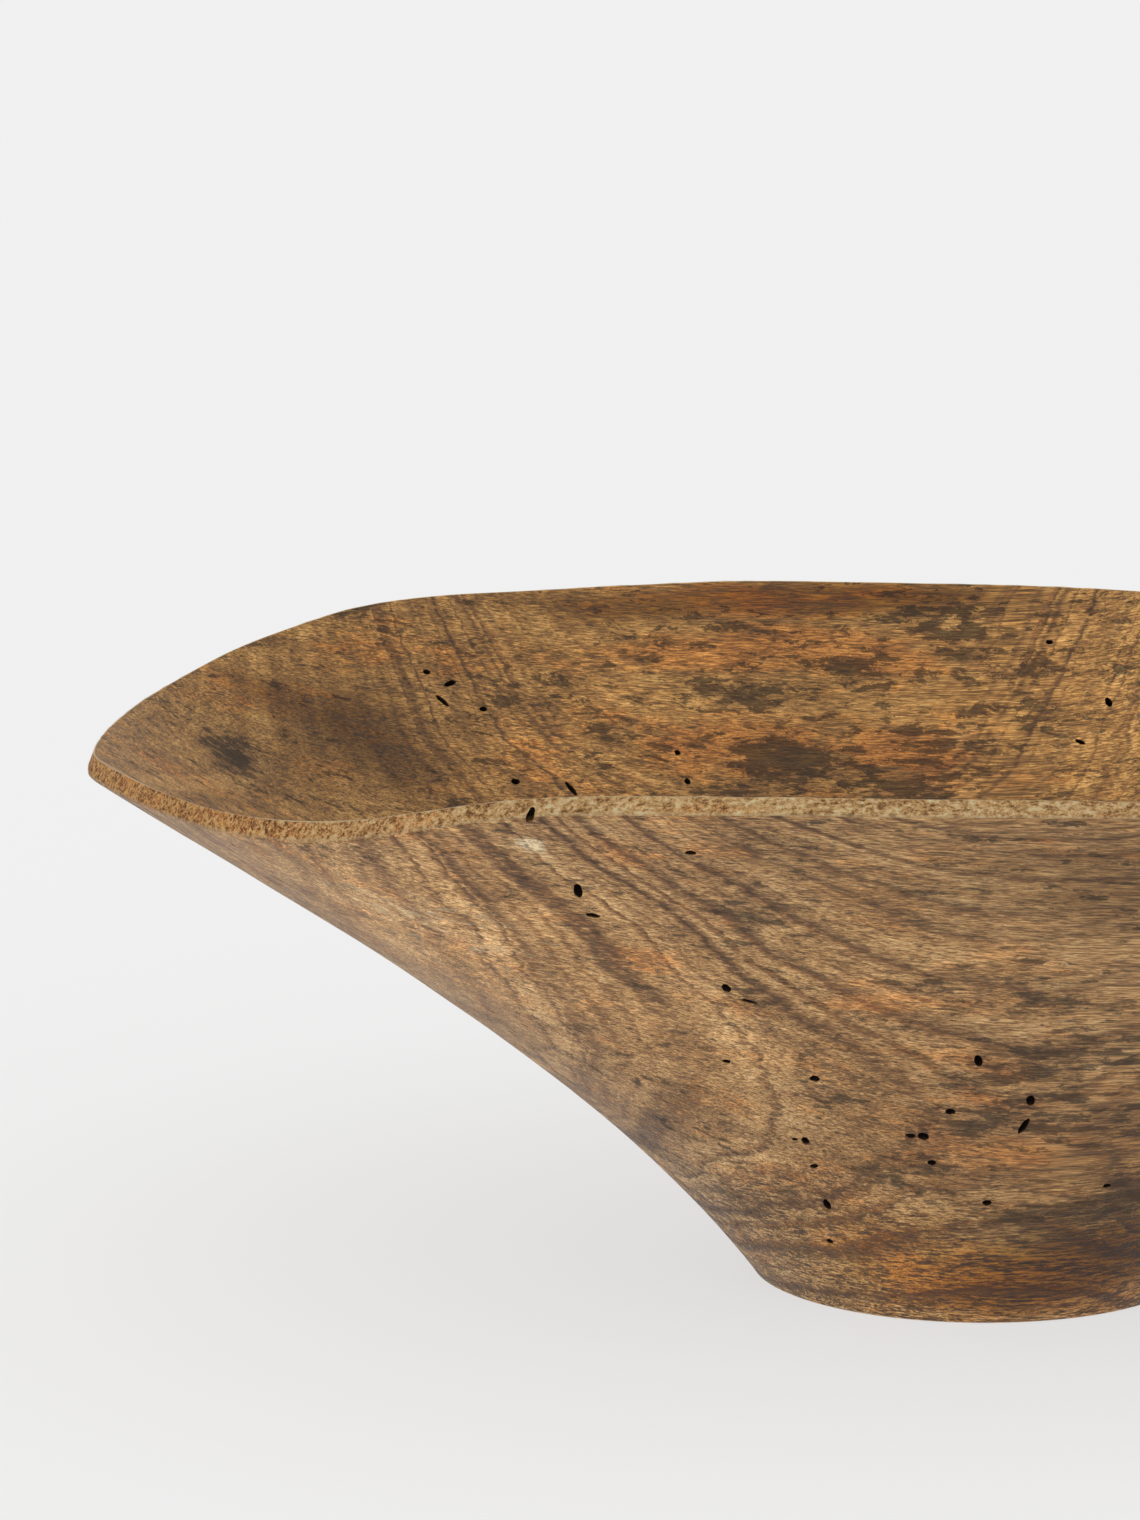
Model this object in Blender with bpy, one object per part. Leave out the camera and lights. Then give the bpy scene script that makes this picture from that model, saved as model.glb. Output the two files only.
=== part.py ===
"""A feed scoop carved from one block of wood: a deep bowl with a broad pouring lip on a small flat foot.

Units are metres and +Z is up. The origin is the centre of the foot's flat face, the lip points along -X,
and the scoop is symmetric about the XZ plane.
"""

import math

import bmesh
import bpy
from mathutils import Vector
from mathutils.geometry import interpolate_bezier

# Rim, seen from above: its inner edge runs from the tip of the lip to the widest point and on to the back.
LIP_REACH = 0.240
BACK_REACH = 0.190
HALF_WIDTH = 0.1665
WIDEST_X = 0.041
LIP_LEAN = 0.0225
LIP_BREADTH = 0.107
LIP_TIP_ROUNDING = 0.008
SIDE_STRAIGHTNESS = 0.87
BACK_ROUNDNESS = 0.58

# Rim, seen from the side: a slow arch that dips where the lip begins.
ARCH_TOP = 0.165
ARCH_TOP_X = -0.189
ARCH_RADIUS = 5.05
LIP_DROP = 0.0155
LIP_DROP_X = -0.174
LIP_DROP_SOFTNESS = 0.015

# Wall, in the upright plane through the foot's axis and a point of the rim.
FOOT_RADIUS = 0.0605
FOOT_ROUNDING = 0.0015
RIM_THICKNESS = 0.006
LOW_THICKNESS = 0.011
LIP_FACE_UPRIGHT = 0.0015
SIDE_SLOPE_AT_RIM = math.radians(55)
LIP_SLOPE_AT_RIM = math.radians(34)
SIDE_SLOPE_AT_FOOT = math.radians(62)
LIP_SLOPE_AT_FOOT = math.radians(52.5)
SIDE_LOW_BEND = 0.33
LIP_LOW_BEND = 0.33
SIDE_HIGH_BEND = 0.33
LIP_HIGH_BEND = 0.35
LIP_SPREAD = 3

# Floor of the hollow, which starts a little way up the wall from the foot.
FLOOR_HEIGHT = 0.015
FLOOR_STARTS = 0.14
FLOOR_CORNER = 0.018
FLOOR_FLATNESS = 0.030
FLOOR_CENTRE_RADIUS = 0.006

# Mesh resolution.
LIP_TO_SIDE_STEPS = 30
SIDE_TO_BACK_STEPS = 18
WALL_STEPS = 12
FLOOR_STEPS = 6
SHARP_EDGE = math.radians(40)

WOOD_COLOUR = (0.30, 0.20, 0.125, 1.0)
WOOD_ROUGHNESS = 0.62


def clear_scene():
    for old in list(bpy.data.objects):
        bpy.data.objects.remove(old)


def rim_height(x):
    arch = ARCH_TOP - (x - ARCH_TOP_X) ** 2 / (2 * ARCH_RADIUS)
    return arch - LIP_DROP / (1 + math.exp((x - LIP_DROP_X) / LIP_DROP_SOFTNESS))


def rounded_tip(point):
    """Rounds the soft point in which the two sides of the lip would meet, and leaves the rest of the rim."""
    worn = math.hypot(point.y, LIP_TIP_ROUNDING) - abs(point.y)
    nearness = max(0.0, -point.x / LIP_REACH)
    return Vector((point.x + LIP_LEAN / LIP_BREADTH * worn * nearness, point.y))


def rim_points():
    """The inner edge of the rim as a closed ring, starting at the tip of the lip."""
    tip = Vector((-LIP_REACH, 0))
    side = Vector((WIDEST_X, HALF_WIDTH))
    back = Vector((BACK_REACH, 0))
    to_lip = Vector((SIDE_STRAIGHTNESS * (side.x - tip.x), 0))
    to_back = Vector((BACK_ROUNDNESS * (back.x - side.x), 0))
    back_turn = Vector((0, BACK_ROUNDNESS * HALF_WIDTH))
    lip_turn = Vector((LIP_LEAN, LIP_BREADTH))
    half = interpolate_bezier(tip, tip + lip_turn, side - to_lip, side, LIP_TO_SIDE_STEPS)[:-1]
    half += interpolate_bezier(side, side + to_back, back + back_turn, back, SIDE_TO_BACK_STEPS)
    other_half = [Vector((point.x, -point.y)) for point in half[-2:0:-1]]
    ring = map(rounded_tip, half + other_half)
    return [Vector((point.x, point.y, rim_height(point.x))) for point in ring]


def lip_share(rim_point):
    """1 below the tip of the lip, falling smoothly to 0 at the back."""
    cosine = rim_point.x / math.hypot(rim_point.x, rim_point.y)
    return ((1 - cosine) / 2) ** LIP_SPREAD


def blend(side_value, lip_value, share):
    return side_value + (lip_value - side_value) * share


def slope(angle):
    """Unit direction out and up a wall, as (radius, height)."""
    return Vector((math.cos(angle), math.sin(angle)))


def outer_wall(rim_point):
    """Control points of the outer wall as (radius, height), from the foot up to the rim's outer edge."""
    share = lip_share(rim_point)
    low = slope(blend(SIDE_SLOPE_AT_FOOT, LIP_SLOPE_AT_FOOT, share))
    high = slope(blend(SIDE_SLOPE_AT_RIM, LIP_SLOPE_AT_RIM, share))
    inner_edge = Vector((math.hypot(rim_point.x, rim_point.y), rim_point.z))
    outer_edge = inner_edge + RIM_THICKNESS * Vector((high.y, -high.x))
    outer_edge.x -= LIP_FACE_UPRIGHT * share
    foot = Vector((FOOT_RADIUS, FOOT_ROUNDING))
    length = (outer_edge - foot).length
    return (
        foot,
        foot + blend(SIDE_LOW_BEND, LIP_LOW_BEND, share) * length * low,
        outer_edge - blend(SIDE_HIGH_BEND, LIP_HIGH_BEND, share) * length * high,
        outer_edge,
    )


def upper_part(controls, start):
    """Control points of the stretch of a cubic from start to its end, by de Casteljau's construction."""
    level = list(controls)
    last_points = [level[-1]]
    while len(level) > 1:
        level = [a.lerp(b, start) for a, b in zip(level, level[1:])]
        last_points.append(level[-1])
    return last_points[::-1]


def inner_wall(rim_point, outer):
    """Control points of the inner wall: the outer wall's own, moved in by the wall's thickness."""
    foot_side, low, high, rim_side = upper_part(outer, FLOOR_STARTS)
    low_along = (low - foot_side).normalized()
    high_along = (rim_side - high).normalized()
    inward_low = LOW_THICKNESS * Vector((-low_along.y, low_along.x))
    inward_high = RIM_THICKNESS * Vector((-high_along.y, high_along.x))
    inner_edge = Vector((math.hypot(rim_point.x, rim_point.y), rim_point.z))
    return foot_side + inward_low, low + inward_low, high + inward_high, inner_edge


def floor_curve(inner):
    """Control points of the hollow's rounded floor, from the foot of the inner wall to the centre."""
    corner = inner[0]
    downhill = (inner[0] - inner[1]).normalized()
    centre = Vector((FLOOR_CENTRE_RADIUS, FLOOR_HEIGHT))
    return corner, corner + FLOOR_CORNER * downhill, centre + Vector((FLOOR_FLATNESS, 0)), centre


def section(rim_point):
    """One radial section as (radius, height): up outside, over the rim, down inside, over the floor."""
    outer = outer_wall(rim_point)
    inner = inner_wall(rim_point, outer)
    foot_face_edge = Vector((FOOT_RADIUS - FOOT_ROUNDING, 0))
    return (
        [foot_face_edge]
        + interpolate_bezier(*outer, WALL_STEPS)
        + interpolate_bezier(*inner[::-1], WALL_STEPS)[:-1]
        + interpolate_bezier(*floor_curve(inner), FLOOR_STEPS)
    )


def scoop_mesh():
    """Rings through matching points of the sections, closed by the foot's face and the floor."""
    sections = []
    for rim_point in rim_points():
        outward = Vector((rim_point.x, rim_point.y, 0)).normalized()
        sections.append([outward * radius + Vector((0, 0, height)) for radius, height in section(rim_point)])

    shell = bmesh.new()
    rings = [[shell.verts.new(point) for point in points] for points in zip(*sections)]
    for lower, upper in zip(rings, rings[1:]):
        for i in range(len(lower)):
            shell.faces.new((lower[i - 1], lower[i], upper[i], upper[i - 1]))
    shell.faces.new(rings[0])
    shell.faces.new(rings[-1])
    bmesh.ops.recalc_face_normals(shell, faces=shell.faces)
    mesh = bpy.data.meshes.new("scoop_bowl")
    shell.to_mesh(mesh)
    shell.free()
    mesh.shade_smooth()
    mesh.set_sharp_from_angle(angle=SHARP_EDGE)
    return mesh


def wood():
    material = bpy.data.materials.new("old_wood")
    material.use_nodes = True
    shader = material.node_tree.nodes["Principled BSDF"]
    shader.inputs["Base Color"].default_value = WOOD_COLOUR
    shader.inputs["Roughness"].default_value = WOOD_ROUGHNESS
    shader.inputs["Metallic"].default_value = 0.0
    return material


def main():
    clear_scene()
    scoop = bpy.data.objects.new("scoop_bowl", scoop_mesh())
    scoop.data.materials.append(wood())
    bpy.context.scene.collection.objects.link(scoop)


main()
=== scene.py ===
"""Looks of the feed scoop: a bowl with a pouring lip, carved from one block of old ring-porous wood.

Everything is in metres in the CAD frame, unless a name or a comment says millimetres. The scoop's surface
is rebuilt here as one fine mesh on the CAD solid's own dimensions, with a rough-cut rim and beetle holes.
The wood is solid: its growth rings lie round a bowed pith outside the block, and its fibres run along X.
"""

import math

import bmesh
import bpy
import numpy as np
from mathutils import Matrix, Vector, kdtree, noise


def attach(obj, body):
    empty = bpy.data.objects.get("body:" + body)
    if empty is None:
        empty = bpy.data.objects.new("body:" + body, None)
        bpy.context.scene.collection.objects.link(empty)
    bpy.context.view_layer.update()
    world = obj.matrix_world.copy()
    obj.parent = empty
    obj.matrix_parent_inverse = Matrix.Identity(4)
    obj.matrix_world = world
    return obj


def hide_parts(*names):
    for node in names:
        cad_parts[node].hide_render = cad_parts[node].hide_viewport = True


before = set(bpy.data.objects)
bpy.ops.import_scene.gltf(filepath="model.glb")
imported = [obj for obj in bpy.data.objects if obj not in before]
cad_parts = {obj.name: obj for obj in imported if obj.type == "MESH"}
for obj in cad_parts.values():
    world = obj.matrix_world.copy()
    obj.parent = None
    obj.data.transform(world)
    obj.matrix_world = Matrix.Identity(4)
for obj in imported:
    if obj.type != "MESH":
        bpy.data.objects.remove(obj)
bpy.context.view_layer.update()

MM_PER_METRE = 1000

# Parts of the surface.
OUTSIDE = 0
RIM_FACE = 1
INSIDE = 2

# Form of the scoop, as in the CAD solid: the rim from above, the rim from the side, the wall and the floor.
LIP_REACH = 0.240
BACK_REACH = 0.190
HALF_WIDTH = 0.1665
WIDEST_X = 0.041
LIP_LEAN = 0.0225
LIP_BREADTH = 0.107
LIP_TIP_ROUNDING = 0.008
SIDE_STRAIGHTNESS = 0.87
BACK_ROUNDNESS = 0.58
ARCH_TOP = 0.165
ARCH_TOP_X = -0.189
ARCH_RADIUS = 5.05
LIP_DROP = 0.0155
LIP_DROP_X = -0.174
LIP_DROP_SOFTNESS = 0.015
FOOT_RADIUS = 0.0605
FOOT_ROUNDING = 0.0015
RIM_THICKNESS = 0.006
LOW_THICKNESS = 0.011
LIP_FACE_UPRIGHT = 0.0015
SIDE_SLOPE_AT_RIM = math.radians(55)
LIP_SLOPE_AT_RIM = math.radians(34)
SIDE_SLOPE_AT_FOOT = math.radians(62)
LIP_SLOPE_AT_FOOT = math.radians(52.5)
SIDE_LOW_BEND = 0.33
LIP_LOW_BEND = 0.33
SIDE_HIGH_BEND = 0.33
LIP_HIGH_BEND = 0.35
LIP_SPREAD = 3
FLOOR_HEIGHT = 0.015
FLOOR_STARTS = 0.14
FLOOR_CORNER = 0.018
FLOOR_FLATNESS = 0.030
FLOOR_CENTRE_RADIUS = 0.006

# Fineness of the visible mesh: columns round the rim, and rows along each stretch of a section.
COLUMNS = 860
CURVE_SAMPLES = 1500
FOOT_ROWS = 5
OUTER_ROWS = 40
EDGE_ROWS = 4
FACE_ROWS = 7
INNER_ROWS = 37
FLOOR_ROWS = 12
FOOT_FACE_SHARES = (0.12, 0.88)
SHARP_EDGE = math.radians(50)

# Wear and handwork, as heights and sizes of the unevenness.
OUTER_EDGE_WEAR = 0.0010
INNER_EDGE_WEAR = 0.0004
FOOT_WEAR_STARTS = 2.0 * FOOT_ROUNDING
FOOT_WEAR_CORNER = 0.3 * FOOT_ROUNDING
CARVING_HEIGHT = 0.00035
CARVING_SIZE = 0.045
TOOL_HEIGHT = 0.00010
TOOL_SIZE = 0.011
SAW_HEIGHT = 0.00016
SAW_SIZE = 0.0055
CHIP_DEPTH = 0.0009
CHIP_SIZE = 0.0090
CHIPS_FROM = 0.28
RIM_WAVE = 0.0002
RIM_WAVE_SIZE = 0.030
CARVED_ABOVE = 0.012
NOISE_SHIFT = 17.3
# Paleness painted on the rim's edges: a painted highlight on the sharp inner edge, a weaker pale line on the
# outer one.
INNER_EDGE_HIGHLIGHT = 0.6
OUTER_EDGE_PALENESS = 0.30

# The far rim is no mirror of the near one: where along X it stands higher or lower, by how much, how long.
FAR_RIM_CHANGES = (
    (-0.222, -0.0017, 0.018),
    (-0.184, 0.0008, 0.014),
    (-0.105, -0.0005, 0.030),
    (-0.030, 0.0008, 0.028),
)
FAR_SIDE_START = 0.05

# The rim's cut face turns browner towards the tip of the lip.
TIP_BROWN_END = -0.145
TIP_BROWN_LENGTH = 0.080
TIP_BROWNNESS = 1.0

# Camera: where it stands, its tilt up from straight down, its turn about the upright, and its lens.
CAMERA_PLACE = (-0.42889, -1.8, 0.49508)
CAMERA_TILT = math.radians(79.126)
CAMERA_TURN = math.radians(-10)
LENS_MM = 165.8
SENSOR_MM = 36

# Studio: the brightness of the sky, how much light the floor gives off and reflects, and the soft light.
STUDIO_WHITE = 0.863
FLOOR_GLOW = 0.63
FLOOR_WHITE = 0.24
FLOOR_ROUGHNESS = 0.9
FLOOR_HALF = 40.0
SOFT_LIGHT_STRENGTH = 0.9
SOFT_LIGHT_SPREAD = math.radians(70)
SOFT_LIGHT_TILT = math.radians(58)
SOFT_LIGHT_TURN = math.radians(-25)

# Growth rings in millimetres. The pith runs along X at this Y and Z: an offset, a slope and a bow. Rings are
# ellipses round it, flattened and slanted, and their radii are distances across their long side.
PITH_Y = (165.0, -0.16, -0.0023)
PITH_Z = (420.0, -0.01, 0.0020)
RING_FLATNESS = 0.52
RING_SLANT = -0.8
RING_SPACING = 3.0
DARK_RINGS = (
    (188, 195, 199.5, 203.5, 206, 209.5, 213, 217.5),
    (224, 229, 233.5, 245.5, 250, 255, 261),
    (264, 268.5, 273, 276, 281),
)
DARK_RING_MARGIN = 2
RING_LINE = 0.5
FINE_RING_SPACING = 1.25
FINE_RING_SHARE = 0.7
RING_BEND_MM = 4.0
RING_RIPPLE_MM = 1.3
RING_WANDER = 2.4
RING_WANDER_RATE = 0.33
RINGLESS_BELOW = 190
RINGS_FROM = 208
FADING_INSIDE_FROM = 214
FADED_INSIDE_BEYOND = 228
FADED_INSIDE = 0.8

# Stretches of one growth ring, from 0 at its start to 1 at its end: where its early wood, or its row of
# pores, begins, where it is full, how far it stays full, and where it ends.
EARLY_WOOD = (0.50, 0.84, 0.88, 1.0)
PORE_ROW = (0.76, 0.86, 0.92, 1.0)

# How steeply the surface cuts through the rings, as a sine: none of their lines below the first value.
NO_CROSSING = 0.12
FULL_CROSSING = 0.50

# Patterns in the wood: how quickly each changes along X, Y and Z per millimetre, then its detail, its
# roughness and its distortion.
RING_BEND = ((0.014, 0.03, 0.03), 2, 0.5, 0)
RING_RIPPLE = ((0.10, 0.30, 0.30), 3, 0.6, 0)
BREAKS = ((0.13, 0.8, 0.8), 3, 0.75, 0)
DASHES = ((0.22, 1.2, 1.2), 2, 0.6, 0)
MOTTLE = ((0.030, 0.085, 0.085), 3, 0.6, 0.5)
STREAKS = ((0.045, 0.42, 0.42), 3, 0.7, 0)
FIBRES = ((0.07, 2.0, 2.0), 3, 0.8, 0)
LAYERS = ((0.16, 0.30, 1.3), 4, 0.8, 0)
WARM_PATCHES = ((0.022, 0.07, 0.07), 4, 0.65, 0)
SPALT_CLOUDS = ((0.030, 0.075, 0.075), 5, 0.68, 0.3)
RAGGEDNESS = ((0.11, 0.26, 0.26), 5, 0.75, 0.4)
PORES = ((0.07, 2.2, 2.2), 2, 0.6, 0)
HAIRS = ((0.04, 3.4, 3.4), 2, 0.6, 0)
TORN_FIBRES = ((0.6, 0.9, 0.9), 5, 0.85, 0)
BANDS_PER_MM = 0.30

# Where a pattern begins to show, and where it shows in full.
MARKED_RINGS = (0.30, 0.62)
BREAKS_SHOW = (0.30, 0.56)
DASHES_SHOW = (0.43, 0.52)
PORES_SHOW = (0.54, 0.64)
HAIRS_SHOW = (0.56, 0.64)
SPALT_SHOWS = (0.69, 0.82)
END_GRAIN_SHOWS = (0.15, 0.65)

# The same for the low layers, by height in millimetres and by how squarely the surface faces up or down.
LAYERS_SHOW_BELOW = (60, 20)
LAYERS_SHOW_UNLESS_LEVEL = (0.96, 0.76)

# Tone of the wood, which runs from 0 to 1: the contrast in it of the rings and of each pattern, and the tone
# between rings, which is a little above the middle to make up for the rings' darkness.
RING_DARKNESS = 0.27
WOOD_TONE = 0.5 + RING_DARKNESS / 4
BAND_CONTRAST = 0.4
MOTTLE_CONTRAST = 0.55
STREAK_CONTRAST = 1.0
FIBRE_CONTRAST = 2.2
LOW_LAYERING = 2.4
END_GRAIN_LAYERING = 0.7

# How far fibres and other patterns break up the outlines of the stains.
FIBRES_IN_UNEVENNESS = 0.7
UNEVEN_ORANGE = 0.6
UNEVEN_BROWN = 0.6
UNEVEN_SPALT = 1.5
UNEVEN_PALE = 0.9
RAGGED_SPALT_OUTSIDE = 1.4
RAGGED_SPALT_MORE_INSIDE = 0.9

# Stains and marks: where they begin, where they are full, and how strong they are there.
ORANGE_STAIN = (0.54, 0.78, 0.9)
RIM_ORANGE_STAIN = (0.50, 0.74, 0.6)
BROWN_STAIN = (0.05, 0.95, 0.9)
PALE_STAIN = (0.30, 1.00, 0.85)
RING_COLOUR_SHARE = 0.5
DARK_RING_STRENGTH = 0.95
PORE_STRENGTH = 0.6
HAIR_STRENGTH = 0.55
PORE_ROW_STRENGTH = 0.7

# The cut face of the rim: its middle tone, and how its torn fibres and ragged patches change it.
RIM_TONE = 0.5
RIM_RAGGEDNESS = 2.0
RIM_CONTRAST = 3.7
RIM_CONTRAST_MORE_AT_TIP = 3.2

# Relief that is too fine for the mesh, in millimetres, and roughness and gloss.
RELIEF_UNIT = 0.001
STREAK_RELIEF = 0.12
FIBRE_RELIEF = 0.2
LINE_RELIEF = -0.05
RIM_RELIEF = 2.6
ROUGHNESS = 0.50
UNEVEN_ROUGHNESS = 0.4
ROUGHER_INSIDE_OR_SPALTED = 0.08
ROUGHER_RIM = 0.25
GLOSS = 0.35


def linear(red, green, blue):
    """A colour given in 8-bit sRGB, as the linear colour that shaders use."""
    channels = [value / 255 for value in (red, green, blue)]
    return tuple(((c + 0.055) / 1.055) ** 2.4 if c > 0.04 else c / 12.92 for c in channels) + (1.0,)


# Colours of the wood, from the darkest tone to the lightest, and of what lies on it.
OUTER_TONES = (
    linear(64, 42, 20),
    linear(114, 81, 44),
    linear(161, 120, 73),
    linear(199, 157, 104),
    linear(229, 193, 140),
)
INNER_TONES = (
    linear(52, 34, 16),
    linear(104, 72, 33),
    linear(149, 106, 53),
    linear(187, 141, 78),
    linear(216, 174, 109),
)
RIM_TONES = (
    linear(116, 74, 38),
    linear(208, 156, 94),
    linear(246, 202, 138),
    linear(255, 238, 188),
)

# Stains, as the factors by which they change red, green and blue light.
TIP_TINT = (0.93, 0.68, 0.42, 1.0)
ORANGE_TINT = (1.20, 0.92, 0.66, 1.0)
BROWN_TINT = (0.40, 0.27, 0.0, 1.0)
SPALT_TINT = (0.21, 0.215, 0.22, 1.0)

# Other colours of the surface.
PALE = linear(232, 210, 168)
RING_ORANGE = linear(138, 92, 50)
RING_BROWN = linear(76, 48, 24)
PORE = linear(52, 33, 18)
# Near-black colour painted deep in the beetle holes: painted shade in the recess.
HOLE_SHADE = linear(26, 15, 8)


# ---------------------------------------------------------------- shape


def cubic(controls, t):
    """Points of a cubic Bezier curve, or of one for each column, at the shares t of its length."""
    first, second, third, last = controls
    rest = 1 - t
    return rest**3 * first + 3 * rest**2 * t * second + 3 * rest * t**2 * third + t**3 * last


def rim_plan():
    """The inner edge of the rim from above, as a closed ring of points that starts at the tip of the lip."""
    tip = np.array((-LIP_REACH, 0.0))
    side = np.array((WIDEST_X, HALF_WIDTH))
    back = np.array((BACK_REACH, 0.0))
    to_lip = np.array((SIDE_STRAIGHTNESS * (WIDEST_X + LIP_REACH), 0))
    to_back = np.array((BACK_ROUNDNESS * (BACK_REACH - WIDEST_X), 0))
    back_turn = np.array((0, BACK_ROUNDNESS * HALF_WIDTH))
    lip_turn = np.array((LIP_LEAN, LIP_BREADTH))
    t = np.linspace(0, 1, CURVE_SAMPLES)[:, None]
    lip_side = cubic((tip, tip + lip_turn, side - to_lip, side), t)
    back_side = cubic((side, side + to_back, back + back_turn, back), t)
    half = np.concatenate((lip_side, back_side[1:]))
    ring = np.concatenate((half, half[-2::-1] * (1, -1)))
    worn = np.hypot(ring[:, 1], LIP_TIP_ROUNDING) - abs(ring[:, 1])
    ring[:, 0] += LIP_LEAN / LIP_BREADTH * worn * np.maximum(0, -ring[:, 0] / LIP_REACH)
    return ring


def rim_curve():
    """The inner edge of the rim at evenly spaced columns, with its height and a slight waviness."""
    ring = rim_plan()
    steps = np.hypot(*np.diff(ring, axis=0).T)
    along = np.concatenate(((0,), np.cumsum(steps)))
    even = np.linspace(0, along[-1], COLUMNS, endpoint=False)
    x = np.interp(even, along, ring[:, 0])
    y = np.interp(even, along, ring[:, 1])
    arch = ARCH_TOP - (x - ARCH_TOP_X) ** 2 / (2 * ARCH_RADIUS)
    z = arch - LIP_DROP / (1 + np.exp((x - LIP_DROP_X) / LIP_DROP_SOFTNESS))
    points = np.column_stack((x, y, z))
    points[:, 2] += RIM_WAVE * lumps(points, RIM_WAVE_SIZE, seed=3)
    far_side = np.clip(y / FAR_SIDE_START, 0, 1)
    for middle, rise, half_length in FAR_RIM_CHANGES:
        points[:, 2] += far_side * rise * np.exp(-(((x - middle) / half_length) ** 2))
    return points


def blend(side_value, lip_value, share):
    return side_value + (lip_value - side_value) * share


def slope(angle):
    """Unit direction out and up a wall, as (radius, height), for each column."""
    return np.column_stack((np.cos(angle), np.sin(angle)))


def outer_wall(rim):
    """Control points of the outer wall as (radius, height), for each column, from the foot to the rim."""
    radius = np.hypot(rim[:, 0], rim[:, 1])
    share = ((1 - rim[:, 0] / radius) / 2) ** LIP_SPREAD
    low = slope(blend(SIDE_SLOPE_AT_FOOT, LIP_SLOPE_AT_FOOT, share))
    high = slope(blend(SIDE_SLOPE_AT_RIM, LIP_SLOPE_AT_RIM, share))
    edge = np.column_stack((radius, rim[:, 2])) + RIM_THICKNESS * high[:, ::-1] * (1, -1)
    edge[:, 0] -= LIP_FACE_UPRIGHT * share
    foot = np.tile((FOOT_RADIUS, FOOT_ROUNDING), (len(rim), 1))
    length = np.hypot(*(edge - foot).T)
    low_reach = (blend(SIDE_LOW_BEND, LIP_LOW_BEND, share) * length)[:, None]
    high_reach = (blend(SIDE_HIGH_BEND, LIP_HIGH_BEND, share) * length)[:, None]
    return foot, foot + low_reach * low, edge - high_reach * high, edge


def upper_part(controls, start):
    """Control points of the stretch of a cubic from start to its end, by de Casteljau's construction."""
    level = list(controls)
    last_points = [level[-1]]
    while len(level) > 1:
        level = [a + (b - a) * start for a, b in zip(level, level[1:])]
        last_points.append(level[-1])
    return last_points[::-1]


def unit(vectors):
    return vectors / np.linalg.norm(vectors, axis=-1, keepdims=True)


def inner_wall(rim, outer):
    """Control points of the inner wall: the outer wall's own, moved in by the wall's thickness."""
    foot_side, low, high, rim_side = upper_part(outer, FLOOR_STARTS)
    inward_low = LOW_THICKNESS * unit(low - foot_side)[:, ::-1] * (-1, 1)
    inward_high = RIM_THICKNESS * unit(rim_side - high)[:, ::-1] * (-1, 1)
    edge = np.column_stack((np.hypot(rim[:, 0], rim[:, 1]), rim[:, 2]))
    return foot_side + inward_low, low + inward_low, high + inward_high, edge


def floor_curve(inner):
    """Control points of the hollow's rounded floor, from the foot of the inner wall to the centre."""
    corner = inner[0]
    downhill = unit(inner[0] - inner[1])
    centre = np.tile((FLOOR_CENTRE_RADIUS, FLOOR_HEIGHT), (len(corner), 1))
    return corner, corner + FLOOR_CORNER * downhill, centre + (FLOOR_FLATNESS, 0), centre


def stretch(controls, shares):
    """Rows of (radius, height) points along a curve: one row for each share, one point for each column."""
    return [cubic(controls, share) for share in shares]


def worn_edge(before, corner, after):
    """Rows that round a corner off, from a point just before it to a point just after it."""
    rows = []
    for t in np.linspace(0, 1, EDGE_ROWS):
        rows.append((1 - t) ** 2 * before + 2 * (1 - t) * t * corner + t**2 * after)
    return rows


def section_rows(rim):
    """All rows of the surface as (radius, height): up outside, over the rim, down inside, over the floor.

    Also gives the part of the surface that each row belongs to. A worn edge is shared by the parts it joins.
    """
    outer = outer_wall(rim)
    inner = inner_wall(rim, outer)
    outer_edge, inner_edge = outer[3], inner[3]
    down_outside = unit(outer[2] - outer[3])
    down_inside = unit(inner[2] - inner[3])
    across = unit(inner_edge - outer_edge)
    foot_shares = np.linspace(*FOOT_FACE_SHARES, FOOT_ROWS)
    foot_face = [np.tile((FOOT_RADIUS * share, 0), (len(rim), 1)) for share in foot_shares]
    foot_edge = worn_edge(
        np.tile((FOOT_RADIUS - FOOT_WEAR_STARTS, 0), (len(rim), 1)),
        np.tile((FOOT_RADIUS - FOOT_WEAR_CORNER, 0), (len(rim), 1)),
        outer[0],
    )
    outside = stretch(outer, np.linspace(0, 1, OUTER_ROWS)[1:-1])
    face_shares = np.linspace(0, 1, FACE_ROWS + 2)[1:-1]
    face_start = outer_edge + OUTER_EDGE_WEAR * across
    face_end = inner_edge - INNER_EDGE_WEAR * across
    outer_round = worn_edge(outer_edge + OUTER_EDGE_WEAR * down_outside, outer_edge, face_start)
    face = [face_start + share * (face_end - face_start) for share in face_shares]
    inner_round = worn_edge(face_end, inner_edge, inner_edge + INNER_EDGE_WEAR * down_inside)
    inside = stretch(inner[::-1], np.linspace(0, 1, INNER_ROWS)[1:])
    floor = stretch(floor_curve(inner), np.linspace(0, 1, FLOOR_ROWS)[1:])
    half_edge = EDGE_ROWS // 2
    parts = (
        [OUTSIDE] * (len(foot_face) + len(foot_edge) + len(outside) + half_edge)
        + [RIM_FACE] * (len(outer_round) + len(face))
        + [INSIDE] * (len(inner_round) + len(inside) + len(floor) - half_edge)
    )
    rows = foot_face + foot_edge + outside + outer_round + face + inner_round + inside + floor
    return rows, np.array(parts)


def lumps(points, size, seed):
    """Smooth noise from about -1 to 1 at each point, in lumps about size metres across."""
    shifted = np.asarray(points).reshape(-1, 3) / size + NOISE_SHIFT * seed
    values = np.array([noise.noise(Vector(point)) for point in shifted.tolist()])
    return values.reshape(np.shape(points)[:-1])


def grid_normals(grid):
    """Outward normals of a closed ring of columns, with shape (rows, columns, 3)."""
    around = np.roll(grid, -1, axis=1) - np.roll(grid, 1, axis=1)
    along = np.gradient(grid, axis=0)
    return unit(np.cross(along, around) + 1e-12)


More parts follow.
